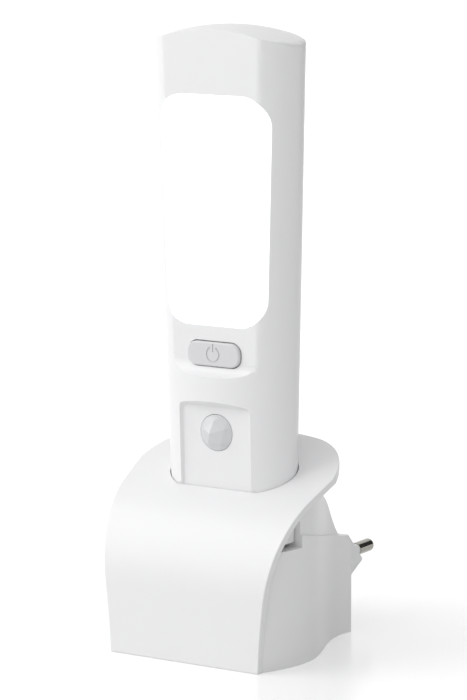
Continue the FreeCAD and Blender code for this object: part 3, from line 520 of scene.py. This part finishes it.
def make_camera():
    data = bpy.data.cameras.new("photo_camera")
    data.sensor_fit = "HORIZONTAL"
    data.sensor_width = SENSOR_WIDTH
    data.lens = FOCAL_PIXELS / IMAGE_WIDTH * SENSOR_WIDTH
    data.clip_start = CLIP_START
    data.clip_end = CLIP_END
    camera = bpy.data.objects.new("photo_camera", data)
    bpy.context.scene.collection.objects.link(camera)
    target = Vector(CAMERA_TARGET) * MM
    place = target + direction(CAMERA_AZIMUTH, CAMERA_ELEVATION) * CAMERA_DISTANCE * MM
    aimed(camera, place, target)
    bpy.context.scene.camera = camera


def make_key():
    """A large soft box in front on the left."""
    data = bpy.data.lights.new("key_left", "AREA")
    data.shape = "RECTANGLE"
    data.size, data.size_y = KEY_SIZE
    data.energy = KEY_POWER
    lamp = bpy.data.objects.new("key_left", data)
    bpy.context.scene.collection.objects.link(lamp)
    middle = Vector(KEY_TARGET)
    aimed(lamp, middle + direction(KEY_AZIMUTH, KEY_ELEVATION) * KEY_DISTANCE, middle)


def make_world():
    """Pale studio walls that light the object, and show plain white behind it."""
    world = bpy.data.worlds.new("studio")
    bpy.context.scene.world = world
    world.use_nodes = True
    tree = world.node_tree
    tree.nodes.clear()
    output = add(tree, "ShaderNodeOutputWorld")
    light = add(tree, "ShaderNodeBackground")
    light.inputs["Color"].default_value = STUDIO_TINT
    towards = add(tree, "ShaderNodeVectorMath", operation="DOT_PRODUCT")
    ray = add(tree, "ShaderNodeTexCoord").outputs["Generated"]
    tree.links.new(ray, towards.inputs[0])
    towards.inputs[1].default_value = direction(*STUDIO_FRONT)
    strength = math_node(tree, "MULTIPLY_ADD", towards.outputs["Value"], STUDIO_SWING,
                         STUDIO_LEVEL)
    tree.links.new(strength, light.inputs["Strength"])
    seen = add(tree, "ShaderNodeBackground")
    seen.inputs["Color"].default_value = (1.0, 1.0, 1.0, 1.0)
    seen.inputs["Strength"].default_value = 1.0
    mix = add(tree, "ShaderNodeMixShader")
    tree.links.new(background_rays(tree), mix.inputs[0])
    tree.links.new(light.outputs[0], mix.inputs[1])
    tree.links.new(seen.outputs[0], mix.inputs[2])
    tree.links.new(mix.outputs[0], output.inputs["Surface"])


def make_floor():
    """White acrylic sheet: it shows white, and keeps the shadow and a faint reflection; its
    glow is dimmer near the object, a painted shade round its foot.
    """
    work = bmesh.new()
    bmesh.ops.create_circle(work, cap_ends=True, segments=96, radius=FLOOR_RADIUS)
    mesh = bpy.data.meshes.new("floor")
    work.to_mesh(mesh)
    work.free()
    floor = bpy.data.objects.new("floor", mesh)
    bpy.context.scene.collection.objects.link(floor)
    material, tree, principled = shader("floor_white")
    principled.inputs["Base Color"].default_value = FLOOR_WHITE
    principled.inputs["Roughness"].default_value = FLOOR_ROUGHNESS
    glow = add(tree, "ShaderNodeEmission")
    place = add(tree, "ShaderNodeTexCoord").outputs["Object"]
    away = add(tree, "ShaderNodeVectorMath", operation="LENGTH")
    tree.links.new(place, away.inputs[0])
    # Glow rises with distance from the object: painted shade on the floor round its foot
    painted_shade_ramp = add(tree, "ShaderNodeMapRange", interpolation_type="SMOOTHSTEP")
    painted_shade_ramp.inputs["From Min"].default_value = FLOOR_GLOW_START
    painted_shade_ramp.inputs["From Max"].default_value = FLOOR_GLOW_REACH
    painted_shade_ramp.inputs["To Min"].default_value = FLOOR_GLOW_NEAR
    painted_shade_ramp.inputs["To Max"].default_value = FLOOR_GLOW_FAR
    tree.links.new(away.outputs["Value"], painted_shade_ramp.inputs["Value"])
    strength = math_node(tree, "MULTIPLY", background_rays(tree), painted_shade_ramp.outputs["Result"])
    tree.links.new(strength, glow.inputs["Strength"])
    both = add(tree, "ShaderNodeAddShader")
    output = tree.nodes["Material Output"]
    tree.links.new(principled.outputs[0], both.inputs[0])
    tree.links.new(glow.outputs[0], both.inputs[1])
    tree.links.new(both.outputs[0], output.inputs["Surface"])
    mesh.materials.append(material)


def make_flag():
    """A black card out of sight behind the plug, which gives its pins their dark stripe."""
    towards = direction(FLAG_AZIMUTH, FLAG_ELEVATION)
    middle = towards * FLAG_DISTANCE + Vector(FLAG_AIM)
    work = bmesh.new()
    bmesh.ops.create_grid(work, x_segments=1, y_segments=1, size=0.5)
    bmesh.ops.scale(work, verts=work.verts, vec=(*FLAG_SIZE, 1.0))
    facing = towards.to_track_quat("Z", "Y").to_matrix().to_4x4()
    bmesh.ops.transform(work, verts=work.verts, matrix=Matrix.Translation(middle) @ facing)
    mesh = bpy.data.meshes.new("flag")
    work.to_mesh(mesh)
    work.free()
    flag = bpy.data.objects.new("flag", mesh)
    bpy.context.scene.collection.objects.link(flag)
    flag.visible_camera = False
    material, tree, principled = shader("flag_black")
    principled.inputs["Base Color"].default_value = (0.03, 0.03, 0.03, 1.0)
    principled.inputs["Roughness"].default_value = 0.9
    mesh.materials.append(material)


make_camera()
make_world()
make_floor()
make_key()
make_flag()

bpy.context.scene.view_settings.view_transform = "Standard"
